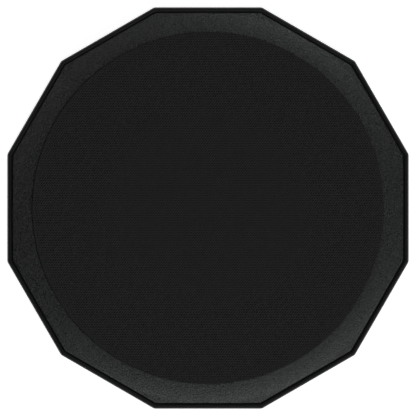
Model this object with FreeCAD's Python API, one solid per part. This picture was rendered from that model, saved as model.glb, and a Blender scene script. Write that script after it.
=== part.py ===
"""Twelve-sided drum practice pad, modelled in millimetres.

Frame: origin at the centre of the footprint on the surface that the pad stands on, +Z up
through the playing surface. The flats of the twelve-sided outline are square to X and Y.

The pad is a sandwich of two boards. A ring-shaped collar board on top leaves a round recess
for a core of foam and gum rubber, and an embossed skin covers the core and laps onto the
collar, so that it stands proud by its own thickness. A solid base board below the collar
carries the non-slip mat and the threaded stand flange. A moulded rubber rim wraps round both
boards, and its barbed tongue is held in a groove that is cut half in each board.
"""

import os

import FreeCAD
import Part

from math import cos, radians, sin, tan

from FreeCAD import Vector

# ---------------------------------------------------------------- driving dimensions
ACROSS_FLATS = 304.8          # outside of the rim, 12 inches
PLAYING_DIAMETER = 266.7      # playing skin, 10.5 inches
RIM_WALL = 4.2                # rim thickness outside the boards
RIM_CORNER_RADIUS = 5.0       # plan radius of the rim's corners
RIM_EDGE_RADIUS = 2.3         # round-over of the rim's outer edges
RIM_INNER_BEVEL = 1.7         # width of the slope from the rim's crest in to the collar board
RIM_INNER_DROP = 1.5          # how far that slope falls
SKIN_OVERLAP = 2.4            # how far the playing skin laps onto the collar board
RECESS_GAP = 0.3              # clear gap round the gum rubber and foam

MAT_THICKNESS = 2.7
FILM_THICKNESS = 0.3
BASE_THICKNESS = 12.0
COLLAR_THICKNESS = 9.0
FOAM_THICKNESS = 3.0
SKIN_THICKNESS = 1.4
SKIN_EDGE_RADIUS = 0.3

SIDES = 12

# ---------------------------------------------------------------- heights of the layers
MAT_TOP = MAT_THICKNESS
BASE_BOTTOM = MAT_TOP + FILM_THICKNESS
BASE_TOP = BASE_BOTTOM + BASE_THICKNESS
COLLAR_TOP = BASE_TOP + COLLAR_THICKNESS
FOAM_BOTTOM = BASE_TOP + FILM_THICKNESS
GUM_BOTTOM = FOAM_BOTTOM + FOAM_THICKNESS
SKIN_TOP = COLLAR_TOP + SKIN_THICKNESS

# ---------------------------------------------------------------- boards
BOARD_APOTHEM = ACROSS_FLATS / 2 - RIM_WALL
PLAYING_RADIUS = PLAYING_DIAMETER / 2
RECESS_RADIUS = PLAYING_RADIUS - SKIN_OVERLAP
CORE_RADIUS = RECESS_RADIUS - RECESS_GAP
CROWN_START_RADIUS = PLAYING_RADIUS + 0.3
COLLAR_FALL_DEG = 4.5         # the collar's top falls away from the skin to the rim
COLLAR_EDGE_BEVEL = 0.9
BASE_EDGE_BEVEL = 0.8

# ---------------------------------------------------------------- rim and its groove
RIM_BOTTOM = BASE_BOTTOM - 0.6
RIM_TOP = COLLAR_TOP - 1.7
TONGUE_DEPTH = 9.0
TONGUE_THICKNESS = 1.8
BARB_PITCH = 2.6
BARB_COUNT = 3
GROOVE_DEPTH = TONGUE_DEPTH + 0.8
GROOVE_HEIGHT = 3.0

# ---------------------------------------------------------------- non-slip mat
MAT_RADIUS = 126.0
MAT_HOLE_RADIUS = 30.0
RIB_PITCH = 4.0
RIB_GROOVE_WIDTH = 1.2
RIB_GROOVE_DEPTH = 1.0
FILM_MARGIN = 1.5             # how far a bond film stays inside the piece that it holds

# ---------------------------------------------------------------- stand flange, M8 thread
FLANGE_RADIUS = 22.0
FLANGE_THICKNESS = 2.0
BARREL_RADIUS = 6.0
BARREL_LENGTH = 8.0
THREAD_BORE_RADIUS = 3.4      # the M8 thread's tapping size
THREAD_MOUTH_CHAMFER = 0.8
SEAT_CLEARANCE = 0.1          # radial clearance of the flange in its seat
BARREL_END_CLEARANCE = 0.5
FLANGE_SCREW_COUNT = 4
FLANGE_SCREW_CIRCLE_RADIUS = 15.0

# ---------------------------------------------------------------- screws
FLANGE_SCREW = {"length": 9.5, "shank": 1.6, "head": 3.2, "head_height": 1.6}
COLLAR_SCREW = {"length": 17.5, "shank": 1.9, "head": 3.8, "head_height": 2.1}
COLLAR_SCREW_CIRCLE_RADIUS = 138.5
THREAD_PITCH = 1.6
THREAD_DEPTH = 0.45
SCREW_TIP_LENGTH = 2.6
SCREW_HOLE_CLEARANCE = 0.05

OUT = "parts"
HALF_SIDE = 180 / SIDES       # half the angle of one side, in degrees


def polar(radius, degrees, z):
    """The point at a radius, a bearing and a height."""
    return Vector(radius * cos(radians(degrees)), radius * sin(radians(degrees)), z)


def cylinder(radius, bottom, top, centre=Vector(0, 0, 0)):
    """An upright cylinder between two heights."""
    return Part.makeCylinder(radius, top - bottom, Vector(centre.x, centre.y, bottom))


def revolved(section):
    """The closed (radius, height) outline turned once round Z."""
    points = [Vector(r, 0, z) for r, z in section]
    face = Part.Face(Part.makePolygon(points + points[:1]))
    return face.revolve(Vector(0, 0, 0), Vector(0, 0, 1), 360)


def rounded_outline(apothem, corner_radius, z):
    """The twelve-sided wire with its flats square to X and Y and its corners rounded."""
    step = 360 / SIDES
    to_centre = (apothem - corner_radius) / cos(radians(HALF_SIDE))
    arcs = []
    for k in range(SIDES):
        centre = polar(to_centre, step * k + HALF_SIDE, z)
        start, middle, end = (
            centre + polar(corner_radius, step * k + turn, 0) for turn in (0, HALF_SIDE, step)
        )
        arcs.append((start, middle, end))
    edges = []
    for k, (start, middle, end) in enumerate(arcs):
        edges.append(Part.Arc(start, middle, end).toShape())
        edges.append(Part.LineSegment(end, arcs[(k + 1) % SIDES][0]).toShape())
    return Part.Wire(edges)


def sharp_outline(apothem, z):
    """The twelve corners of the outline with its flats square to X and Y."""
    radius = apothem / cos(radians(HALF_SIDE))
    return [polar(radius, 360 / SIDES * k + HALF_SIDE, z) for k in range(SIDES)]


def sided_prism(apothem, bottom, top):
    """A twelve-sided prism with sharp corners."""
    corners = sharp_outline(apothem, bottom)
    face = Part.Face(Part.makePolygon(corners + corners[:1]))
    return face.extrude(Vector(0, 0, top - bottom))


def sided_loop(section):
    """A closed loop of a straight-edged (apothem, height) section round the twelve sides."""
    rings = [sharp_outline(apothem, z) for apothem, z in section]
    faces = []
    for here, ahead in zip(rings, rings[1:] + rings[:1]):
        for k in range(SIDES):
            after = (k + 1) % SIDES
            corners = [here[k], here[after], ahead[after], ahead[k]]
            faces.append(Part.Face(Part.makePolygon(corners + corners[:1])))
    solid = Part.Solid(Part.makeShell(faces))
    if solid.Volume < 0:
        solid.reverse()
    return solid


def bevel_loop(apothem, z, size, upwards):
    """The sliver that a bevel takes off the board's edge: above z if upwards, else below."""
    over = 1.0
    out = over if upwards else -over
    back = -size if upwards else size
    section = [
        (apothem + over, z + back - out),
        (apothem - size - over, z + out),
        (apothem + over, z + out),
    ]
    return sided_loop(section)


# ---------------------------------------------------------------- fasteners
def screw(kind):
    """A countersunk wood screw with a cross recess, head down at the origin, tip up."""
    length, shank, head, head_height = (kind[k] for k in ("length", "shank", "head", "head_height"))
    root = shank - THREAD_DEPTH
    section = [(0, 0), (head, 0), (head, 0.3), (shank, head_height), (shank, head_height + 1.2)]
    z = head_height + 1.2
    while z + THREAD_PITCH < length - SCREW_TIP_LENGTH:
        section += [(root, z + 0.3), (root, z + THREAD_PITCH - 0.5), (shank, z + THREAD_PITCH - 0.1)]
        section.append((shank, z + THREAD_PITCH))
        z += THREAD_PITCH
    section += [(root, z + 0.3), (root, length - SCREW_TIP_LENGTH), (0, length)]
    body = revolved(section)
    arm, wing = head * 0.6, head * 0.16
    depth = head_height * 0.8
    recess = Part.makeCone(wing * 2.2, wing, depth + 0.01, Vector(0, 0, -0.01))
    for turn in (0, 90):
        slot = Part.makeBox(2 * arm, 2 * wing, depth, Vector(-arm, -wing, -0.01))
        slot.rotate(Vector(0, 0, 0), Vector(0, 0, 1), turn)
        recess = recess.fuse(slot)
    return body.cut(recess)


def screw_hole(kind):
    """The countersunk pilot hole that the screw fills, with the same datum."""
    shank, head = kind["shank"] + SCREW_HOLE_CLEARANCE, kind["head"] + SCREW_HOLE_CLEARANCE
    head_height, length = kind["head_height"], kind["length"]
    blind = 0.4
    section = [(0, -1), (head, -1), (head, 0.3), (shank, head_height)]
    section += [(shank, length - SCREW_TIP_LENGTH + blind), (0, length + blind)]
    return revolved(section)


def on_circle(shape, radius, degrees, z):
    """A copy of the shape at a bearing on a circle about Z, turned to face that way."""
    copy = shape.copy()
    copy.translate(Vector(radius, 0, z))
    copy.rotate(Vector(0, 0, 0), Vector(0, 0, 1), degrees)
    return copy


def flange_screw_bearings():
    return [45 + 360 / FLANGE_SCREW_COUNT * k for k in range(FLANGE_SCREW_COUNT)]


def collar_screw_bearings():
    return [HALF_SIDE + 360 / SIDES * k for k in range(SIDES)]


def flange_screws(shape):
    return [
        on_circle(shape, FLANGE_SCREW_CIRCLE_RADIUS, b, BASE_BOTTOM) for b in flange_screw_bearings()
    ]


def collar_screws(shape):
    return [
        on_circle(shape, COLLAR_SCREW_CIRCLE_RADIUS, b, BASE_BOTTOM) for b in collar_screw_bearings()
    ]


# ---------------------------------------------------------------- playing stack
def playing_skin():
    """The embossed rubber skin that the sticks strike, with an eased top edge."""
    disc = cylinder(PLAYING_RADIUS, COLLAR_TOP, SKIN_TOP)
    top_edge = [e for e in disc.Edges if e.BoundBox.ZMin > SKIN_TOP - 0.01]
    return disc.makeFillet(SKIN_EDGE_RADIUS, top_edge)


def gum_rubber_disc():
    """The springy gum rubber layer that gives the rebound, flush with the collar's top."""
    return cylinder(CORE_RADIUS, GUM_BOTTOM, COLLAR_TOP)


def damping_foam_disc():
    """The closed-cell foam layer that quiets the stroke."""
    return cylinder(CORE_RADIUS, FOAM_BOTTOM, GUM_BOTTOM)


def pad_bond_film():
    """The double-sided film that holds the stack to the recess floor."""
    return cylinder(CORE_RADIUS - FILM_MARGIN, BASE_TOP, FOAM_BOTTOM)


# ---------------------------------------------------------------- boards
def groove(bottom, top):
    """The part of the tongue groove that lies between two heights."""
    inner = BOARD_APOTHEM - GROOVE_DEPTH
    return sided_prism(BOARD_APOTHEM + 1, bottom, top).cut(sided_prism(inner, bottom, top))


def collar_board():
    """The ring-shaped upper board, whose textured top falls gently to the rim."""
    fall = tan(radians(COLLAR_FALL_DEG))
    outer = BOARD_APOTHEM / cos(radians(HALF_SIDE)) + 2
    board = sided_prism(BOARD_APOTHEM, BASE_TOP, COLLAR_TOP + 1)
    crown = revolved([
        (RECESS_RADIUS, BASE_TOP),
        (outer, BASE_TOP),
        (outer, COLLAR_TOP - (outer - CROWN_START_RADIUS) * fall),
        (CROWN_START_RADIUS, COLLAR_TOP),
        (RECESS_RADIUS, COLLAR_TOP),
    ])
    board = board.common(crown)
    edge_height = COLLAR_TOP - (BOARD_APOTHEM - CROWN_START_RADIUS) * fall
    board = board.cut(bevel_loop(BOARD_APOTHEM, edge_height, COLLAR_EDGE_BEVEL, True))
    board = board.cut(groove(BASE_TOP, BASE_TOP + GROOVE_HEIGHT / 2))
    for hole in collar_screws(screw_hole(COLLAR_SCREW)):
        board = board.cut(hole)
    return board


def base_board():
    """The solid lower board, with the seats of the flange, the screws and the rim's tongue."""
    board = sided_prism(BOARD_APOTHEM, BASE_BOTTOM, BASE_TOP)
    board = board.cut(bevel_loop(BOARD_APOTHEM, BASE_BOTTOM, BASE_EDGE_BEVEL, False))
    board = board.cut(groove(BASE_TOP - GROOVE_HEIGHT / 2, BASE_TOP))
    seat_top = BASE_BOTTOM + FLANGE_THICKNESS
    hole_top = seat_top + BARREL_LENGTH + BARREL_END_CLEARANCE
    board = board.cut(cylinder(FLANGE_RADIUS + SEAT_CLEARANCE, BASE_BOTTOM - 1, seat_top))
    board = board.cut(cylinder(BARREL_RADIUS + SEAT_CLEARANCE, seat_top, hole_top))
    for hole in flange_screws(screw_hole(FLANGE_SCREW)) + collar_screws(screw_hole(COLLAR_SCREW)):
        board = board.cut(hole)
    return board


# ---------------------------------------------------------------- rim
def rim_tongue():
    """The barbed tongue that the rim grips the boards with."""
    middle = BASE_TOP
    half = TONGUE_THICKNESS / 2
    barb = GROOVE_HEIGHT / 2
    root = BOARD_APOTHEM + 0.5
    upper = [(root, middle + half)]
    for k in range(BARB_COUNT):
        catch = BOARD_APOTHEM - 1.4 - BARB_PITCH * k
        upper += [(catch, middle + half), (catch, middle + barb), (catch - 1.8, middle + half)]
    tip = BOARD_APOTHEM - TONGUE_DEPTH
    upper.append((tip, middle + half * 0.6))
    lower = [(apothem, 2 * middle - z) for apothem, z in reversed(upper)]
    return sided_loop(upper + lower)


def edge_rim():
    """The moulded rubber rim: rounded outer edges, a slope in to the collar, a barbed tongue."""
    outline = Part.Face(rounded_outline(ACROSS_FLATS / 2, RIM_CORNER_RADIUS, RIM_BOTTOM))
    band = outline.extrude(Vector(0, 0, RIM_TOP - RIM_BOTTOM))
    flat_edges = [e for e in band.Edges if e.BoundBox.ZLength < 0.01]
    band = band.makeFillet(RIM_EDGE_RADIUS, flat_edges)
    band = band.cut(sided_prism(BOARD_APOTHEM, RIM_BOTTOM - 1, RIM_TOP + 1))
    inner_slope = sided_loop([
        (BOARD_APOTHEM - 1, RIM_TOP - RIM_INNER_DROP),
        (BOARD_APOTHEM, RIM_TOP - RIM_INNER_DROP),
        (BOARD_APOTHEM + RIM_INNER_BEVEL, RIM_TOP),
        (BOARD_APOTHEM + RIM_INNER_BEVEL, RIM_TOP + 1),
        (BOARD_APOTHEM - 1, RIM_TOP + 1),
    ])
    return band.cut(inner_slope).fuse(rim_tongue()).removeSplitter()


# ---------------------------------------------------------------- underside
def base_mat():
    """The non-slip mat, ribbed underneath, with a hole that leaves the flange free."""
    section = [(MAT_HOLE_RADIUS, MAT_TOP), (MAT_HOLE_RADIUS, 0)]
    slope = 0.2
    ribs = int((MAT_RADIUS - MAT_HOLE_RADIUS) / RIB_PITCH)
    for k in range(1, ribs):
        middle = MAT_HOLE_RADIUS + RIB_PITCH * k
        half = RIB_GROOVE_WIDTH / 2
        section += [(middle - half, 0), (middle - half + slope, RIB_GROOVE_DEPTH)]
        section += [(middle + half - slope, RIB_GROOVE_DEPTH), (middle + half, 0)]
    section += [(MAT_RADIUS, 0), (MAT_RADIUS, MAT_TOP)]
    return revolved(section)


def mat_bond_film():
    """The double-sided film between the mat and the base board."""
    film = cylinder(MAT_RADIUS - FILM_MARGIN, MAT_TOP, BASE_BOTTOM)
    return film.cut(cylinder(MAT_HOLE_RADIUS + FILM_MARGIN, MAT_TOP - 1, BASE_BOTTOM + 1))


def stand_flange():
    """The steel flange with a threaded barrel that takes a stand's M8 stud from below."""
    seat_top = BASE_BOTTOM + FLANGE_THICKNESS
    top = seat_top + BARREL_LENGTH
    mouth = THREAD_BORE_RADIUS + THREAD_MOUTH_CHAMFER
    flange = revolved([
        (mouth, BASE_BOTTOM),
        (FLANGE_RADIUS - 0.4, BASE_BOTTOM),
        (FLANGE_RADIUS, BASE_BOTTOM + 0.4),
        (FLANGE_RADIUS, seat_top),
        (BARREL_RADIUS, seat_top),
        (BARREL_RADIUS, top - 0.5),
        (BARREL_RADIUS - 0.5, top),
        (THREAD_BORE_RADIUS, top),
        (THREAD_BORE_RADIUS, BASE_BOTTOM + THREAD_MOUTH_CHAMFER),
    ])
    for hole in flange_screws(screw_hole(FLANGE_SCREW)):
        flange = flange.cut(hole)
    return flange


def all_pieces():
    """Every sub-part by its node name. Alike screws are separate solids of one node."""
    return {
        "playing_skin": playing_skin(),
        "gum_rubber_disc": gum_rubber_disc(),
        "damping_foam_disc": damping_foam_disc(),
        "pad_bond_film": pad_bond_film(),
        "collar_board": collar_board(),
        "base_board": base_board(),
        "edge_rim": edge_rim(),
        "base_mat": base_mat(),
        "mat_bond_film": mat_bond_film(),
        "stand_flange": stand_flange(),
        "flange_screws": Part.makeCompound(flange_screws(screw(FLANGE_SCREW))),
        "collar_screws": Part.makeCompound(collar_screws(screw(COLLAR_SCREW))),
    }


os.makedirs(OUT, exist_ok=True)
for name, shape in all_pieces().items():
    shape.exportStep(f"{OUT}/{name}.step")
    print(f"{name}: {len(shape.Solids)} solid(s), valid {shape.isValid()}, {shape.Volume / 1000:.2f} cm3")
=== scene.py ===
"""The looks of the twelve-sided drum practice pad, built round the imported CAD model."""

from math import cos, floor, pi, radians, sin, sqrt, tan

import bmesh
import bpy
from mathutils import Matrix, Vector, noise


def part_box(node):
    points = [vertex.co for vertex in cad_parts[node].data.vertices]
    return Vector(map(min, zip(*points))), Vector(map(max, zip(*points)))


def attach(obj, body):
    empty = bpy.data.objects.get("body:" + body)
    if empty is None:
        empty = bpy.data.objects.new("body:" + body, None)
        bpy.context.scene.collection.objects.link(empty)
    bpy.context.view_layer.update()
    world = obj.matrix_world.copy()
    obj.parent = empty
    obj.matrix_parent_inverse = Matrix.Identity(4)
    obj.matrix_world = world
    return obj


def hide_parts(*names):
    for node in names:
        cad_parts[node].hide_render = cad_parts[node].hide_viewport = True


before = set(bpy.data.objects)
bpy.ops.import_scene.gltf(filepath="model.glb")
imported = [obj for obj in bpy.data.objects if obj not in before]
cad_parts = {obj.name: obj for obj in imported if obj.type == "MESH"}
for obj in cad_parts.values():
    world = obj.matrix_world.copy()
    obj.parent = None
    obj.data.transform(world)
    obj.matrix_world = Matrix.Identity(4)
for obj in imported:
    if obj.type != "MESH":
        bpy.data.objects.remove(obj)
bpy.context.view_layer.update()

MM = 0.001

# ---------------------------------------------------------------- sizes read from the frame
SIDES = 12
HALF_SIDE = pi / SIDES
RIM_LOW, RIM_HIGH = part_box("edge_rim")
SKIN_LOW, SKIN_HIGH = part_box("playing_skin")
GUM_LOW, GUM_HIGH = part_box("gum_rubber_disc")
FOAM_LOW, FOAM_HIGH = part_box("damping_foam_disc")
COLLAR_LOW, COLLAR_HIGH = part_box("collar_board")
BASE_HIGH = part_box("base_board")[1]
MAT_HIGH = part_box("base_mat")[1]
FLANGE_LOW, FLANGE_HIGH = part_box("stand_flange")
RIM_APOTHEM = RIM_HIGH.x
BOARD_APOTHEM = BASE_HIGH.x
SKIN_RADIUS = SKIN_HIGH.x
CORE_RADIUS = GUM_HIGH.x
RIM_WALL = RIM_APOTHEM - BOARD_APOTHEM

# ---------------------------------------------------------------- sizes that the looks add
ROUND_STEPS = 360                   # round the discs and the mat
RECESS_CLEARANCE = 0.3 * MM         # between the core and the board round it
RECESS_RADIUS = CORE_RADIUS + RECESS_CLEARANCE
CROWN_START_GAP = 0.3 * MM          # level strip between the skin and the deck's fall
CROWN_START_RADIUS = SKIN_RADIUS + CROWN_START_GAP

WEAVE_ROW_PITCH = 1.880 * MM        # from one row of dimples to the next
WEAVE_COLUMN_PITCH = 1.928 * MM     # along a row
WEAVE_LEAN = 0.475 * MM             # how far each row starts to the left of the one before
WEAVE_DEPTH = 0.30 * MM
WEAVE_PARTS = (0.56, 0.32, 0.16)    # weights of the diagonal, the row and the column ridges
SKIN_BEVEL = 0.6 * MM               # how far in its softened edge reaches
LATTICE_NEAR = 0.06 * MM            # points nearer to the cut than this move to this far inside it

DECK_INNER_SLOPE = radians(3.0)     # at the skin
DECK_OUTER_SLOPE = radians(6.8)     # at the rim
DECK_EDGE_RADIUS = 0.9 * MM
DECK_COLUMNS = SIDES * 168
DECK_ROWS = 34
DECK_FADE = 1 / 30                  # share of its width in which the lumps die out at each edge
SEAT_GAP = 0.44 * MM                # widest gap between the skin's edge and the groove's
SEAT_FOCUS = 6                      # how closely the gap keeps to the left
SEAT_DEPTH = 2.4 * MM               # at its inner side; its floor rises outwards
SEAT_LIP = 0.6 * MM                 # depth of its outer wall
SEAT_UNDERCUT = 0.6 * MM            # how far the groove reaches in under the skin
SEAT_LAND = 0.1 * MM                # smooth strip between the groove and the lumps
PAINT_LUMP = 0.9 * MM               # size of the textured paint's lumps
PAINT_HEIGHT = 0.055 * MM
FINE_LUMP = 0.45                    # the fine lumps' size, as a share of the others'
FINE_HEIGHT = 0.6                   # the fine lumps' height, as a share of the others'

RIM_CORNER_RADIUS = 5.0 * MM
RIM_SHOULDER_DROP = 4.0 * MM        # height of the rounding outside the crest
RIM_FOOT_RADIUS = 2.3 * MM
RIM_CREST_INSET = 2.0 * MM          # from the rim's face in to its highest line
RIM_INNER_DROP = 1.5 * MM           # how far it falls from there to the board
RIM_CREST_STEPS = 6
RIM_SHOULDER_STEPS = 14
RIM_HOLLOW = 0.15 * MM              # how far its face is set in at half its height
RIM_HOLLOW_START = 0.3              # share of that at the hollow's top and bottom lines
RIM_HOLLOW_EASE = 1.5 * MM          # from the roundings to those two lines
GROOVE_DEPTH = 9.8 * MM
GROOVE_HALF_HEIGHT = 1.5 * MM
TONGUE_HALF_THICKNESS = 0.9 * MM
TONGUE_DEPTH = 9.0 * MM
BARBS = 3
BARB_START = 1.4 * MM               # from the boards' edge in to the first barb
BARB_PITCH = 2.6 * MM
BARB_LENGTH = 1.8 * MM

MAT_HOLE_RADIUS = 30.0 * MM
MAT_RIB_PITCH = 4.0 * MM
MAT_RIB_TOP = 2.8 * MM
MAT_RIB_HEIGHT = 1.0 * MM
MAT_RIB_FLARE = 0.6                 # share of half the gap that a rib's foot spreads over
EDGE_EASE = 0.25 * MM               # softening of the mat's ribs and of the layers' edges

FLANGE_THICKNESS = 2.0 * MM
BARREL_RADIUS = 6.0 * MM
THREAD_PITCH = 1.25 * MM            # M8
THREAD_MINOR_RADIUS = 3.4 * MM
THREAD_DEPTH = 0.6 * MM
THREAD_MOUTH = 0.8 * MM
THREAD_ROOT = 0.21875               # the groove's flat bottom, as a share of the pitch
THREAD_FLANK = 0.3125               # each of its flanks, likewise
FLANGE_SCREW_CIRCLE = 15.0 * MM
SINK_RADIUS = 3.25 * MM
SINK_DEPTH = 1.6 * MM
SINK_BORE = 1.65 * MM
SINK_RIM = 0.3 * MM                 # straight part at the mouth


# ---------------------------------------------------------------- meshes
def direction(angle):
    return Vector((cos(angle), sin(angle), 0))


def arc(centre, radius, start, end, steps):
    """Points (across, up) along an arc whose angles are in degrees."""
    across, up = centre
    points = []
    for i in range(steps + 1):
        angle = radians(start + (end - start) * i / steps)
        points.append((across + radius * cos(angle), up + radius * sin(angle)))
    return points


def loft(rings, closed):
    """Vertices and quads of a skin over rings of equal count, closed back to the first or not."""
    count = len(rings[0])
    verts = [point for ring in rings for point in ring]
    faces = []
    for j in range(len(rings) if closed else len(rings) - 1):
        here, ahead = j * count, (j + 1) % len(rings) * count
        for i in range(count):
            after = (i + 1) % count
            faces.append((here + i, here + after, ahead + after, ahead + i))
    return verts, faces


def ring_of(radius, height, segments):
    return [direction(2 * pi * i / segments) * radius + Vector((0, 0, height)) for i in range(segments)]


def lathe(section, segments, closed):
    """The (radius, height) section turned once round Z."""
    return loft([ring_of(radius, height, segments) for radius, height in section], closed)


def mesh_of(name, verts, faces, sharp=35):
    """A mesh with merged doubles, outward normals and smooth shading except at sharp edges."""
    mesh = bpy.data.meshes.new(name)
    mesh.from_pydata([tuple(v) for v in verts], [], faces)
    shape = bmesh.new()
    shape.from_mesh(mesh)
    bmesh.ops.remove_doubles(shape, verts=shape.verts, dist=1e-7)
    bmesh.ops.recalc_face_normals(shape, faces=shape.faces)
    shape.to_mesh(mesh)
    shape.free()
    mesh.shade_smooth()
    mesh.set_sharp_from_angle(angle=radians(sharp))
    return mesh


def stand_in(name, mesh, node, shader):
    """The piece that is shown in place of a CAD node, riding on the pad's one body."""
    piece = bpy.data.objects.new(name, mesh)
    bpy.context.scene.collection.objects.link(piece)
    mesh.materials.clear()
    mesh.materials.append(shader)
    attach(piece, "root")
    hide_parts(node)
    return piece


# ---------------------------------------------------------------- materials
class Shader:
    """A procedural material in the making. Constants go on the shader's own sockets."""

    def __init__(self, name, **constants):
        self.made = bpy.data.materials.new(name)
        self.made.use_nodes = True
        self.tree = self.made.node_tree
        self.surface = self.tree.nodes["Principled BSDF"]
        for socket, value in constants.items():
            self.surface.inputs[socket.replace("_", " ")].default_value = value
        self.place = self.add("ShaderNodeTexCoord").outputs["Object"]
        self.bumped = None

    def add(self, kind, **settings):
        node = self.tree.nodes.new(kind)
        for key, value in settings.items():
            setattr(node, key, value)
        return node

    def feed(self, socket, source):
        if isinstance(source, bpy.types.NodeSocket):
            self.tree.links.new(source, socket)
        else:
            socket.default_value = source

    def math(self, operation, *values):
        node = self.add("ShaderNodeMath", operation=operation)
        for socket, value in zip(node.inputs, values):
            self.feed(socket, value)
        return node.outputs[0]

    def noise(self, size, detail=3.0, roughness=0.55, stretch=None):
        """Cloudy noise from 0 to 1 whose lumps are about the given size in metres."""
        node = self.add("ShaderNodeTexNoise")
        node.inputs["Scale"].default_value = 1 / size
        node.inputs["Detail"].default_value = detail
        node.inputs["Roughness"].default_value = roughness
        place = self.place
        if stretch:
            scaled = self.add("ShaderNodeVectorMath", operation="MULTIPLY")
            self.feed(scaled.inputs[0], place)
            scaled.inputs[1].default_value = stretch
            place = scaled.outputs[0]
        self.feed(node.inputs["Vector"], place)
        return node.outputs["Fac"]

    def cells(self, size):
        """Distance to the nearest of scattered points, for pits and flecks."""
        node = self.add("ShaderNodeTexVoronoi", feature="F1")
        node.inputs["Scale"].default_value = 1 / size
        self.feed(node.inputs["Vector"], self.place)
        return node.outputs["Distance"]

    def grains(self, size):
        """Two random values from 0 to 1 for each of the scattered grains."""
        node = self.add("ShaderNodeTexVoronoi", feature="F1")
        node.inputs["Scale"].default_value = 1 / size
        self.feed(node.inputs["Vector"], self.place)
        split = self.add("ShaderNodeSeparateColor")
        self.feed(split.inputs[0], node.outputs["Color"])
        return split.outputs["Red"], split.outputs["Green"]

    def spread(self, source, low, high, start=0.0, end=1.0):
        """The source's span from start to end mapped to low..high."""
        node = self.add("ShaderNodeMapRange")
        self.feed(node.inputs["Value"], source)
        for key, value in (("From Min", start), ("From Max", end), ("To Min", low), ("To Max", high)):
            node.inputs[key].default_value = value
        return node.outputs["Result"]

    def ramp(self, source, *stops):
        """A colour ramp through (position, colour) stops."""
        node = self.add("ShaderNodeValToRGB")
        elements = node.color_ramp.elements
        while len(elements) < len(stops):
            elements.new(0.5)
        for element, (position, colour) in zip(elements, stops):
            element.position = position
            element.color = (*colour, 1.0)
        self.feed(node.inputs["Fac"], source)
        return node.outputs["Color"]

    def scaled_colour(self, colour, factor):
        """The colour multiplied by a varying factor."""
        node = self.add("ShaderNodeVectorMath", operation="SCALE")
        self.feed(node.inputs[0], colour)
        self.feed(node.inputs["Scale"], factor)
        return node.outputs[0]

    def bump(self, height, distance, strength=1.0):
        """Adds a bump of the given height in metres on top of the ones before."""
        node = self.add("ShaderNodeBump")
        node.inputs["Strength"].default_value = strength
        node.inputs["Distance"].default_value = distance
        self.feed(node.inputs["Height"], height)
        if self.bumped:
            self.feed(node.inputs["Normal"], self.bumped)
        self.bumped = node.outputs["Normal"]
        self.feed(self.surface.inputs["Normal"], self.bumped)

    def set(self, socket, source):
        self.feed(self.surface.inputs[socket], source)


def weave_wave(shader):
    """The weave's height, from about -1 in a dimple to 1 on a ridge, as the mesh has it."""
    split = shader.add("ShaderNodeSeparateXYZ")
    shader.feed(split.inputs[0], shader.place)
    across, along = split.outputs["X"], split.outputs["Y"]
    row = shader.math("MULTIPLY", along, 2 * pi / WEAVE_ROW_PITCH)
    leaning = shader.math("MULTIPLY_ADD", along, WEAVE_LEAN / WEAVE_ROW_PITCH, across)
    column = shader.math("MULTIPLY", leaning, 2 * pi / WEAVE_COLUMN_PITCH)
    diagonal = shader.math("SUBTRACT", column, row)
    total = 0.0
    for phase, weight in zip((diagonal, row, column), WEAVE_PARTS):
        total = shader.math("MULTIPLY_ADD", shader.math("COSINE", phase), -weight, total)
    return total


def embossed_rubber():
    """Matt black rubber with painted shade in the weave's dimples and painted light on its ridges, some
    dimples darker than others.
    """
    shader = Shader("embossed_rubber", Metallic=0.0, Specular_IOR_Level=0.08)
    wave = weave_wave(shader)
    mottle = shader.spread(shader.noise(38 * MM, 2.0), 0.99, 1.01, 0.3, 0.7)
    tint, shade_strength = shader.grains(0.9 * MM)
    grain = shader.spread(tint, 0.86, 1.14)
    # painted shade in the dimples and painted light on the ridges, stronger round some grains than round
    # others
    dimple = shader.math("MULTIPLY", wave, shader.spread(shade_strength, -0.1, 2.1))
    painted_weave_shade = shader.spread(dimple, 0.1, 1.9, -0.85, 0.85)
    tone = shader.math("MULTIPLY", shader.math("MULTIPLY", mottle, grain), painted_weave_shade)
    # the base colour carries the painted weave shade and light
    shader.set("Base Color", shader.scaled_colour((0.0242, 0.0233, 0.0232), tone))
    shader.set("Roughness", shader.spread(wave, 0.90, 0.55, -1.0, 1.0))
    shader.bump(shader.noise(0.3 * MM, 3.0, 0.6), 0.02 * MM, 0.8)
    return shader.made


def textured_paint():
    """Black sprayed paint with a sandy grain: most of its grains are dark and a few are pale."""
    shader = Shader("textured_paint", Metallic=0.0, Specular_IOR_Level=0.42)
    tint, gloss = shader.grains(0.5 * MM)
    speck = shader.spread(shader.math("POWER", tint, 3.0), 0.1, 3.6)
    cloud = shader.spread(shader.noise(22 * MM, 3.0), 0.94, 1.06, 0.3, 0.7)
    tone = shader.math("MULTIPLY", speck, cloud)
    shader.set("Base Color", shader.scaled_colour((0.0130, 0.0130, 0.0130), tone))
    shader.set("Roughness", shader.spread(gloss, 0.20, 0.44))
    shader.bump(shader.cells(0.6 * MM), 0.05 * MM, 0.8)
    shader.bump(shader.noise(0.5 * MM, 3.0, 0.6), 0.04 * MM, 0.8)
    return shader.made


def rim_rubber():
    """Smooth black moulded rubber with a faint flow grain along it."""
    shader = Shader("rim_rubber", Metallic=0.0, Specular_IOR_Level=0.18)
    cloud = shader.spread(shader.noise(9 * MM, 4.0), 0.85, 1.15, 0.3, 0.7)
    shader.set("Base Color", shader.scaled_colour((0.0034, 0.0034, 0.0032), cloud))
    shader.set("Roughness", shader.spread(shader.noise(3 * MM, 4.0), 0.40, 0.50, 0.3, 0.7))
    shader.bump(shader.noise(0.5 * MM, 3.0, 0.6), 0.012 * MM, 0.6)
    return shader.made


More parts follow.
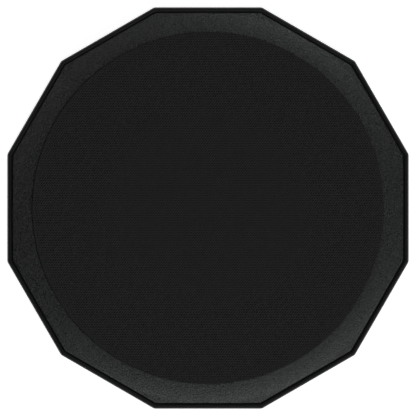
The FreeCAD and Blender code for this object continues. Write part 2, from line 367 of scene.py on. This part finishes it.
def sealed_board():
    """The base board's underside: black sealer rolled on fibreboard."""
    shader = Shader("board_underside", Metallic=0.0, Specular_IOR_Level=0.4)
    cloud = shader.spread(shader.noise(14 * MM, 5.0, 0.6), 0.68, 1.36, 0.3, 0.7)
    fleck = shader.spread(shader.noise(0.9 * MM, 4.0), 0.6, 1.4, 0.3, 0.7)
    tone = shader.math("MULTIPLY", cloud, fleck)
    shader.set("Base Color", shader.scaled_colour((0.030, 0.030, 0.031), tone))
    shader.set("Roughness", shader.spread(shader.noise(6 * MM, 4.0), 0.45, 0.68, 0.3, 0.7))
    shader.bump(shader.noise(1.6 * MM, 4.0, 0.6), 0.06 * MM, 0.7)
    return shader.made


def mat_rubber():
    """Soft non-slip rubber, dulled by dust in its pores."""
    shader = Shader("mat_rubber", Metallic=0.0, Specular_IOR_Level=0.3)
    dust = shader.spread(shader.noise(18 * MM, 5.0, 0.6), 0.85, 1.25, 0.35, 0.7)
    grain = shader.spread(shader.noise(0.5 * MM, 2.0), 0.8, 1.2, 0.3, 0.7)
    tone = shader.math("MULTIPLY", dust, grain)
    shader.set("Base Color", shader.scaled_colour((0.026, 0.026, 0.027), tone))
    shader.set("Roughness", shader.spread(shader.noise(4 * MM, 3.0), 0.78, 0.92, 0.3, 0.7))
    shader.bump(shader.cells(0.7 * MM), 0.08 * MM, 0.6)
    shader.bump(shader.noise(0.3 * MM, 2.0), 0.02 * MM, 0.6)
    return shader.made


def gum_rubber():
    """Dense grey gum rubber with a sawn edge."""
    shader = Shader("gum_rubber", Metallic=0.0, Specular_IOR_Level=0.3)
    layers = shader.noise(2.0 * MM, 4.0, 0.6, stretch=(1.0, 1.0, 6.0))
    shader.set("Base Color", shader.ramp(layers, (0.3, (0.07, 0.065, 0.06)), (0.7, (0.13, 0.12, 0.11))))
    shader.set("Roughness", shader.spread(layers, 0.7, 0.9, 0.3, 0.7))
    shader.bump(layers, 0.05 * MM, 0.7)
    return shader.made


def damping_foam():
    """Charcoal closed-cell foam with its cut cells showing as pits, with painted shade in them."""
    shader = Shader("damping_foam", Metallic=0.0, Specular_IOR_Level=0.2)
    pores = shader.cells(0.6 * MM)
    # darker towards each pit's bottom: painted shade in the cut cells
    shader.set("Base Color", shader.ramp(pores, (0.1, (0.02, 0.02, 0.022)), (0.6, (0.075, 0.075, 0.08))))
    shader.set("Roughness", shader.spread(pores, 0.85, 0.98, 0.0, 0.6))
    shader.bump(pores, 0.12 * MM, 0.9)
    return shader.made


def bond_film():
    """Pale double-sided adhesive film with a paper fibre."""
    shader = Shader("bond_film", Metallic=0.0, Specular_IOR_Level=0.4)
    fibre = shader.noise(1.5 * MM, 5.0, 0.7, stretch=(1.0, 4.0, 1.0))
    shader.set("Base Color", shader.ramp(fibre, (0.3, (0.42, 0.39, 0.32)), (0.7, (0.58, 0.55, 0.47))))
    shader.set("Roughness", shader.spread(fibre, 0.45, 0.7, 0.3, 0.7))
    shader.bump(fibre, 0.02 * MM, 0.5)
    return shader.made


def zinc_plate(name, tint, low, high):
    """Zinc-plated steel with a patchy, brushed lustre."""
    shader = Shader(name, Metallic=1.0)
    patch = shader.spread(shader.noise(5 * MM, 5.0, 0.65), 0.85, 1.1, 0.3, 0.7)
    shader.set("Base Color", shader.scaled_colour(tint, patch))
    brushed = shader.noise(0.5 * MM, 4.0, 0.6, stretch=(0.25, 3.0, 1.0))
    shader.set("Roughness", shader.spread(brushed, low, high, 0.3, 0.7))
    shader.bump(brushed, 0.01 * MM, 0.5)
    return shader.made


def black_phosphate():
    """The dull black finish of the collar screws, worn to steel in places."""
    shader = Shader("black_screw", Metallic=0.8)
    wear = shader.noise(1.4 * MM, 4.0, 0.65)
    shader.set("Base Color", shader.ramp(wear, (0.55, (0.035, 0.035, 0.036)), (0.75, (0.20, 0.19, 0.18))))
    shader.set("Roughness", shader.spread(wear, 0.55, 0.35, 0.4, 0.8))
    shader.bump(shader.noise(0.3 * MM, 3.0), 0.01 * MM, 0.6)
    return shader.made


# ---------------------------------------------------------------- playing skin
def weave_height(x, y):
    """The embossed weave's height above the sheet's mean surface."""
    row = 2 * pi * y / WEAVE_ROW_PITCH
    column = 2 * pi * (x + y * WEAVE_LEAN / WEAVE_ROW_PITCH) / WEAVE_COLUMN_PITCH
    phases = (column - row, row, column)
    return -WEAVE_DEPTH / 2 * sum(w * cos(phase) for w, phase in zip(WEAVE_PARTS, phases))


def clipped_lattice(radius):
    """The weave's grid of half cells, cut off along a circle: points, faces and their outline."""
    rows = int(radius / (WEAVE_ROW_PITCH / 2)) + 2
    columns = int(radius / (WEAVE_COLUMN_PITCH / 2)) + 2 + rows // 2
    points, index = [], {}

    def lattice_point(i, j):
        y = j * WEAVE_ROW_PITCH / 2
        flat = Vector((i * WEAVE_COLUMN_PITCH / 2 - y * WEAVE_LEAN / WEAVE_ROW_PITCH, y))
        if abs(flat.length - radius) < LATTICE_NEAR:
            flat *= (radius - LATTICE_NEAR) / flat.length
        return flat

    def number(key, flat):
        if key not in index:
            index[key] = len(points)
            points.append(flat)
        return index[key]

    def crossing(a, b):
        """The point where the edge from a to b meets the circle, shared by both its faces."""
        a, b = sorted((a, b))
        start, step = lattice_point(*a), lattice_point(*b) - lattice_point(*a)
        half = start.dot(step)
        root = sqrt(half * half - step.length_squared * (start.length_squared - radius * radius))
        along = (-half + root) / step.length_squared
        if not 0 <= along <= 1:
            along = (-half - root) / step.length_squared
        return number((a, b), start + step * along)

    faces, rim = [], []
    for j in range(-rows, rows):
        for i in range(-columns, columns):
            corners = [(i, j), (i + 1, j), (i + 1, j + 1), (i, j + 1)]
            inside = [lattice_point(*c).length < radius for c in corners]
            if not any(inside):
                continue
            face, cuts = [], []
            for k, corner in enumerate(corners):
                after = (k + 1) % 4
                if inside[k]:
                    face.append(number(corner, lattice_point(*corner)))
                if inside[k] != inside[after]:
                    cut = crossing(corner, corners[after])
                    face.append(cut)
                    cuts.append(cut)
            if len(face) > 2:
                faces.append(face)
            rim += cuts
    rim = sorted(set(rim), key=lambda n: Vector((1, 0)).angle_signed(points[n], 0))
    return points, faces, rim


def playing_skin(shader):
    """The raised rubber disc with its embossed weave and die-cut edge."""
    bevel = SKIN_BEVEL
    points, faces, rim = clipped_lattice(SKIN_RADIUS - bevel)
    mean = SKIN_HIGH.z - WEAVE_DEPTH / 2
    verts = [Vector((p.x, p.y, mean + weave_height(p.x, p.y))) for p in points]
    edge = [
        (SKIN_RADIUS - bevel * 0.3, mean - bevel * 0.3),
        (SKIN_RADIUS, mean - bevel),
        (SKIN_RADIUS, SKIN_LOW.z + bevel / 2),
        (SKIN_RADIUS - bevel / 2, SKIN_LOW.z),
    ]
    above = rim
    for radius, height in edge:
        below = []
        for n in rim:
            below.append(len(verts))
            verts.append(Vector((*(points[n].normalized() * radius), height)))
        for k in range(len(rim)):
            after = (k + 1) % len(rim)
            faces.append((above[k], below[k], below[after], above[after]))
        above = below
    faces.append(tuple(above))
    mesh = mesh_of("playing_skin_embossed", verts, faces, sharp=50)
    return stand_in("playing_skin_embossed", mesh, "playing_skin", shader)


# ---------------------------------------------------------------- collar board
def deck_edge(angle, inset):
    """Distance from the centre to the twelve-sided edge, moved in by the inset."""
    side = floor((angle + HALF_SIDE) / (2 * HALF_SIDE))
    return (BOARD_APOTHEM - inset) / cos(angle - side * 2 * HALF_SIDE)


def paint_height(x, y):
    """The textured paint's lumps."""
    coarse = noise.noise(Vector((x, y, 0)) / PAINT_LUMP)
    fine = noise.noise(Vector((y, x, PAINT_LUMP)) / (PAINT_LUMP * FINE_LUMP))
    return PAINT_HEIGHT * (coarse + FINE_HEIGHT * fine)


def deck_fall(out):
    """How far the crowned deck has fallen at a distance out from the edge of the skin."""
    width = BOARD_APOTHEM - CROWN_START_RADIUS
    gain = tan(DECK_OUTER_SLOPE) - tan(DECK_INNER_SLOPE)
    return out * tan(DECK_INNER_SLOPE) + gain * out * min(out, width) / (2 * width)


def seat_edge(angle):
    """Outer radius of the groove round the skin, which shows as a hairline gap on the left."""
    return SKIN_RADIUS + SEAT_GAP * sin(angle / 2) ** SEAT_FOCUS


def collar_board(shader):
    """The ring board: groove round the skin, crowned deck, eased edge and the tongue's groove."""
    angles = [2 * pi * i / DECK_COLUMNS for i in range(DECK_COLUMNS)]

    def level_ring(reach, height):
        return [direction(a) * reach(a) + Vector((0, 0, height)) for a in angles]

    rings = [
        level_ring(lambda a: RECESS_RADIUS, COLLAR_HIGH.z),
        level_ring(lambda a: SKIN_RADIUS - SEAT_UNDERCUT, COLLAR_HIGH.z),
        level_ring(lambda a: SKIN_RADIUS - SEAT_UNDERCUT, COLLAR_HIGH.z - SEAT_DEPTH),
        level_ring(seat_edge, COLLAR_HIGH.z - SEAT_LIP),
        level_ring(seat_edge, COLLAR_HIGH.z - PAINT_HEIGHT),
    ]
    for row in range(DECK_ROWS + 1):
        share = row / DECK_ROWS
        fade = min(1, share / DECK_FADE, (1 - share) / DECK_FADE)
        ring = []
        for a in angles:
            end = deck_edge(a, DECK_EDGE_RADIUS)
            start = seat_edge(a) + SEAT_LAND
            flat = direction(a) * (start + (end - start) * share)
            fall = deck_fall(max(0, flat.length - CROWN_START_RADIUS))
            grain = fade * paint_height(flat.x, flat.y)
            ring.append(flat + Vector((0, 0, COLLAR_HIGH.z - PAINT_HEIGHT - fall + grain)))
        rings.append(ring)
    crest = rings[-1]
    rounding = arc((DECK_EDGE_RADIUS, -DECK_EDGE_RADIUS), DECK_EDGE_RADIUS, 90, 180, 5)
    for inset, drop in rounding[1:]:
        ring = [direction(a) * deck_edge(a, inset) for a in angles]
        rings.append([flat + Vector((0, 0, crest[i].z + drop)) for i, flat in enumerate(ring)])
    groove_top = COLLAR_LOW.z + GROOVE_HALF_HEIGHT
    for inset, height in ((0, groove_top), (GROOVE_DEPTH, groove_top), (GROOVE_DEPTH, COLLAR_LOW.z)):
        rings.append(level_ring(lambda a: deck_edge(a, inset), height))
    rings.append(level_ring(lambda a: RECESS_RADIUS, COLLAR_LOW.z))
    mesh = mesh_of("collar_board_painted", *loft(rings, True), sharp=40)
    return stand_in("collar_board_painted", mesh, "collar_board", shader)


# ---------------------------------------------------------------- rim
def rim_outline(inset, height):
    """Points round the twelve sides at an inset, with the rim's rounded corners."""
    arc_steps, side_steps = 8, 14
    radius = max(RIM_CORNER_RADIUS - inset, 0)
    reach = (RIM_APOTHEM - inset - radius) / cos(HALF_SIDE)
    corners = []
    for k in range(SIDES):
        middle = HALF_SIDE * (2 * k + 1)
        turns = [middle + HALF_SIDE * (2 * i / arc_steps - 1) for i in range(arc_steps + 1)]
        corners.append([direction(middle) * reach + direction(turn) * radius for turn in turns])
    points = []
    for k, corner in enumerate(corners):
        after = corners[(k + 1) % SIDES][0]
        points += corner
        points += [corner[-1].lerp(after, i / side_steps) for i in range(1, side_steps)]
    return [point + Vector((0, 0, height)) for point in points]


def edge_rim(shader):
    """The moulded rim: round edges, a slightly hollow face and a barbed tongue inside."""
    low, high, foot = RIM_LOW.z, RIM_HIGH.z, RIM_FOOT_RADIUS
    section = []
    for i in range(RIM_CREST_STEPS + 1):
        turn = radians(90 * i / RIM_CREST_STEPS)
        across = RIM_CREST_INSET + (RIM_WALL - RIM_CREST_INSET) * cos(turn)
        section.append((across, high - RIM_INNER_DROP * (1 - sin(turn))))
    for i in range(1, RIM_SHOULDER_STEPS + 1):
        turn = radians(90 * i / RIM_SHOULDER_STEPS)
        section.append((RIM_CREST_INSET * (1 - sin(turn)), high - RIM_SHOULDER_DROP * (1 - cos(turn))))
    section += [
        (RIM_HOLLOW * RIM_HOLLOW_START, high - RIM_SHOULDER_DROP - RIM_HOLLOW_EASE),
        (RIM_HOLLOW, (low + high) / 2),
        (RIM_HOLLOW * RIM_HOLLOW_START, low + foot + RIM_HOLLOW_EASE),
    ]
    section += arc((foot, low + foot), foot, 180, 270, 12)
    section += [((RIM_WALL + foot) / 2, low), (RIM_WALL, low)]
    middle, half = COLLAR_LOW.z, TONGUE_HALF_THICKNESS
    lower = [(RIM_WALL, middle - half)]
    for k in range(BARBS):
        catch = RIM_WALL + BARB_START + BARB_PITCH * k
        lower += [(catch, middle - half), (catch, middle - GROOVE_HALF_HEIGHT)]
        lower.append((catch + BARB_LENGTH, middle - half))
    lower.append((RIM_WALL + TONGUE_DEPTH, middle - half * 0.6))
    section += lower + [(inset, 2 * middle - z) for inset, z in reversed(lower)]
    rings = [rim_outline(*point) for point in section]
    mesh = mesh_of("edge_rim_moulded", *loft(rings, True), sharp=40)
    return stand_in("edge_rim_moulded", mesh, "edge_rim", shader)


# ---------------------------------------------------------------- inner layers
def layer(name, node, low, high, radius, bulge, shader):
    """A die-cut disc whose edge is bulged a little by the load of the layers above."""
    steps = 6
    side = high - low - 2 * EDGE_EASE
    section = [(0, low), (radius / 2, low), (radius - EDGE_EASE, low)]
    for i in range(steps + 1):
        share = i / steps
        out = radius - bulge + bulge * sin(pi * share)
        section.append((out, low + EDGE_EASE + side * share))
    section += [(radius - EDGE_EASE, high), (radius / 2, high), (0, high)]
    mesh = mesh_of(name, *lathe(section, ROUND_STEPS, False), sharp=60)
    return stand_in(name, mesh, node, shader)


# ---------------------------------------------------------------- underside
def base_mat(shader):
    """The non-slip mat: concentric ribs with softened edges under a flat sheet."""
    ribs = int((MAT_HIGH.x - MAT_HOLE_RADIUS) / MAT_RIB_PITCH)
    slack = (MAT_RIB_PITCH - MAT_RIB_TOP) / 2
    ease, flare = EDGE_EASE, slack * MAT_RIB_FLARE
    section = [(MAT_HOLE_RADIUS, MAT_HIGH.z)]
    for k in range(ribs):
        start = MAT_HOLE_RADIUS + MAT_RIB_PITCH * k
        inner = start if k == 0 else start + slack
        outer = MAT_HIGH.x if k == ribs - 1 else start + MAT_RIB_PITCH - slack
        if k:
            section.append((inner - flare, MAT_RIB_HEIGHT))
        section += [(inner, ease), (inner + ease, 0), (outer - ease, 0), (outer, ease)]
        if k < ribs - 1:
            section.append((outer + flare, MAT_RIB_HEIGHT))
    section.append((MAT_HIGH.x, MAT_HIGH.z))
    mesh = mesh_of("base_mat_ribbed", *lathe(section, ROUND_STEPS, True), sharp=50)
    return stand_in("base_mat_ribbed", mesh, "base_mat", shader)


def thread_ring(height, segments=96):
    """The bore's outline at a height: a helical thread that runs out at both its ends."""
    low, high = FLANGE_LOW.z + THREAD_MOUTH, FLANGE_HIGH.z
    half_pitch = THREAD_PITCH / 2
    run_out = max(0, min(1, (height - low) / half_pitch, (high - height) / half_pitch))
    ring = []
    for i in range(segments):
        turn = (height / THREAD_PITCH - i / segments) % 1
        groove = min(1, max(0, (THREAD_ROOT / 2 + THREAD_FLANK - abs(turn - 0.5)) / THREAD_FLANK))
        radius = THREAD_MINOR_RADIUS + THREAD_DEPTH * groove * run_out
        ring.append(direction(2 * pi * i / segments) * radius + Vector((0, 0, height)))
    return ring


def cut_away(mesh, tools):
    """The mesh with each tool mesh taken out of it."""
    made = mesh
    for tool in tools:
        body = bpy.data.objects.new("cut_body", made)
        cutter = bpy.data.objects.new("cut_tool", tool)
        for item in (body, cutter):
            bpy.context.scene.collection.objects.link(item)
        change = body.modifiers.new("cut", "BOOLEAN")
        change.operation, change.solver, change.object = "DIFFERENCE", "EXACT", cutter
        graph = bpy.context.evaluated_depsgraph_get()
        made = bpy.data.meshes.new_from_object(body.evaluated_get(graph))
        for item in (body, cutter):
            bpy.data.objects.remove(item)
    made.name = mesh.name
    return made


def stand_flange(shader):
    """The turned steel flange: countersunk for its screws, with a real M8 thread inside."""
    steps_per_turn, segments, ease = 10, 96, 0.4 * MM
    low, seat, high = FLANGE_LOW.z, FLANGE_LOW.z + FLANGE_THICKNESS, FLANGE_HIGH.z
    outside = [
        (THREAD_MINOR_RADIUS + THREAD_MOUTH, low),
        (FLANGE_HIGH.x - ease, low),
        (FLANGE_HIGH.x, low + ease),
        (FLANGE_HIGH.x, seat),
        (BARREL_RADIUS, seat),
        (BARREL_RADIUS, high - ease),
        (BARREL_RADIUS - ease, high),
    ]
    rings = [ring_of(radius, height, segments) for radius, height in outside]
    start = low + THREAD_MOUTH
    steps = round((high - start) / THREAD_PITCH * steps_per_turn)
    rings += [thread_ring(high + (start - high) * i / steps) for i in range(steps + 1)]
    mesh = mesh_of("stand_flange_threaded", *loft(rings, True), sharp=32)
    over = 0.5 * MM
    profile = [(0, low - over), (SINK_RADIUS, low - over), (SINK_RADIUS, low + SINK_RIM)]
    profile += [(SINK_BORE, low + SINK_DEPTH), (SINK_BORE, seat + over), (0, seat + over)]
    sinks = []
    for k in range(4):
        verts, faces = lathe(profile, 40, False)
        shift = direction(radians(45 + 90 * k)) * FLANGE_SCREW_CIRCLE
        sinks.append(mesh_of("sink", [v + shift for v in verts], faces))
    mesh = cut_away(mesh, sinks)
    mesh.set_sharp_from_angle(angle=radians(32))
    return stand_in("stand_flange_threaded", mesh, "stand_flange", shader)


# ---------------------------------------------------------------- the pad
paint = textured_paint()
playing_skin(embossed_rubber())
collar_board(paint)
edge_rim(rim_rubber())
layer(
    "gum_rubber_layer", "gum_rubber_disc",
    GUM_LOW.z, GUM_HIGH.z, CORE_RADIUS, 0.15 * MM, gum_rubber(),
)
foam = layer(
    "damping_foam_layer", "damping_foam_disc",
    FOAM_LOW.z, FOAM_HIGH.z, CORE_RADIUS, 0.25 * MM, damping_foam(),
)
base_mat(mat_rubber())
stand_flange(zinc_plate("zinc_steel", (0.42, 0.42, 0.40), 0.32, 0.50))

film = bond_film()
for node, shader in {
    "base_board": sealed_board(),
    "pad_bond_film": film,
    "mat_bond_film": film,
    "flange_screws": zinc_plate("screw_steel", (0.46, 0.43, 0.36), 0.30, 0.42),
    "collar_screws": black_phosphate(),
}.items():
    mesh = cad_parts[node].data
    mesh.materials.clear()
    mesh.materials.append(shader)


# ---------------------------------------------------------------- studio
FLOOR_HALF = 20.0
FLOOR_DROP = 0.05 * MM              # keeps the floor clear of the mat's underside
FLOOR_GLOW = 0.83
LIGHT_DISTANCE = 2.6
CAMERA_HEIGHT = 4.0
VIEW_WIDTH = 315.8 * MM             # what the camera sees across at the rim's shoulder
VIEW_DEPTH = 3.6 * MM               # from the rim's crest down to its shoulder
SENSOR = 36.0
COOL = (0.945, 0.993, 1.0)          # the tint of a daylight tube
WHITE = (1.0, 1.0, 1.0)


def studio_floor():
    """A plain white floor that glows, so that the pad stands on even white; clear from below."""
    mesh = bpy.data.meshes.new("floor")
    signs = [(-1, -1), (1, -1), (1, 1), (-1, 1)]
    corners = [(x * FLOOR_HALF, y * FLOOR_HALF, -FLOOR_DROP) for x, y in signs]
    mesh.from_pydata(corners, [], [(0, 1, 2, 3)])
    floor_object = bpy.data.objects.new("floor", mesh)
    bpy.context.scene.collection.objects.link(floor_object)
    shader = Shader("floor_white", Roughness=0.9, Specular_IOR_Level=0.1, Emission_Strength=FLOOR_GLOW)
    shader.set("Base Color", (0.85, 0.85, 0.85, 1.0))
    shader.set("Emission Color", (1.0, 1.0, 1.0, 1.0))
    clear = shader.add("ShaderNodeBsdfTransparent")
    sides = shader.add("ShaderNodeMixShader")
    shader.feed(sides.inputs["Fac"], shader.add("ShaderNodeNewGeometry").outputs["Backfacing"])
    shader.feed(sides.inputs[1], shader.surface.outputs["BSDF"])
    shader.feed(sides.inputs[2], clear.outputs["BSDF"])
    shader.feed(shader.tree.nodes["Material Output"].inputs["Surface"], sides.outputs[0])
    mesh.materials.append(shader.made)


def softbox(name, bearing, elevation, size, watts, tint):
    """A rectangular area light aimed at the pad, with its bearing measured from +X."""
    light = bpy.data.lights.new(name, "AREA")
    light.shape = "RECTANGLE"
    light.size, light.size_y = size
    light.energy = watts
    light.color = tint
    lamp = bpy.data.objects.new(name, light)
    bpy.context.scene.collection.objects.link(lamp)
    lift = radians(elevation)
    out = direction(radians(bearing)) * cos(lift) + Vector((0, 0, sin(lift)))
    lamp.location = out * LIGHT_DISTANCE
    lamp.rotation_euler = out.to_track_quat("Z", "Y").to_euler()
    lamp.visible_camera = False


def studio_world(zenith, horizon, left, right):
    """A white backdrop whose light is weaker overhead than round the sides, and on the left."""
    low_end, high_start = 0.15, 0.60
    world = bpy.data.worlds.new("studio")
    bpy.context.scene.world = world
    world.use_nodes = True
    tree = world.node_tree
    place = tree.nodes.new("ShaderNodeTexCoord")
    split = tree.nodes.new("ShaderNodeSeparateXYZ")
    ramp = tree.nodes.new("ShaderNodeValToRGB")
    tree.links.new(place.outputs["Generated"], split.inputs[0])
    tree.links.new(split.outputs["Z"], ramp.inputs["Fac"])
    elements = ramp.color_ramp.elements
    elements[0].position, elements[0].color = low_end, (horizon,) * 3 + (1.0,)
    elements[1].position, elements[1].color = high_start, (zenith,) * 3 + (1.0,)
    light = tree.nodes["Background"]
    tree.links.new(ramp.outputs["Color"], light.inputs["Color"])
    sides = tree.nodes.new("ShaderNodeMapRange")
    for key, value in (("From Min", -1.0), ("From Max", 1.0), ("To Min", left), ("To Max", right)):
        sides.inputs[key].default_value = value
    tree.links.new(split.outputs["X"], sides.inputs["Value"])
    tree.links.new(sides.outputs["Result"], light.inputs["Strength"])
    backdrop = tree.nodes.new("ShaderNodeBackground")
    seen = tree.nodes.new("ShaderNodeMixShader")
    tree.links.new(tree.nodes.new("ShaderNodeLightPath").outputs["Is Camera Ray"], seen.inputs["Fac"])
    tree.links.new(light.outputs["Background"], seen.inputs[1])
    tree.links.new(backdrop.outputs["Background"], seen.inputs[2])
    tree.links.new(seen.outputs[0], tree.nodes["World Output"].inputs["Surface"])
    backdrop.inputs["Color"].default_value = (1.0, 1.0, 1.0, 1.0)


def overhead_camera():
    """A long lens straight above the pad, with +Y up in the picture."""
    camera = bpy.data.cameras.new("overhead")
    camera.sensor_width = SENSOR
    camera.lens = SENSOR * (CAMERA_HEIGHT - RIM_HIGH.z + VIEW_DEPTH) / VIEW_WIDTH
    shot = bpy.data.objects.new("overhead", camera)
    shot.location = (0, 0, CAMERA_HEIGHT)
    bpy.context.scene.collection.objects.link(shot)
    bpy.context.scene.camera = shot


studio_floor()
softbox("front_softbox", bearing=-77, elevation=65, size=(2.6, 0.7), watts=19.2, tint=COOL)
softbox("back_softbox", bearing=63, elevation=66, size=(0.8, 0.6), watts=5.5, tint=COOL)
softbox("side_softbox", bearing=142, elevation=64, size=(1.4, 0.5), watts=2.9, tint=WHITE)
studio_world(zenith=0.02, horizon=0.95, left=0.35, right=1.15)
overhead_camera()
bpy.context.scene.view_settings.view_transform = "Standard"
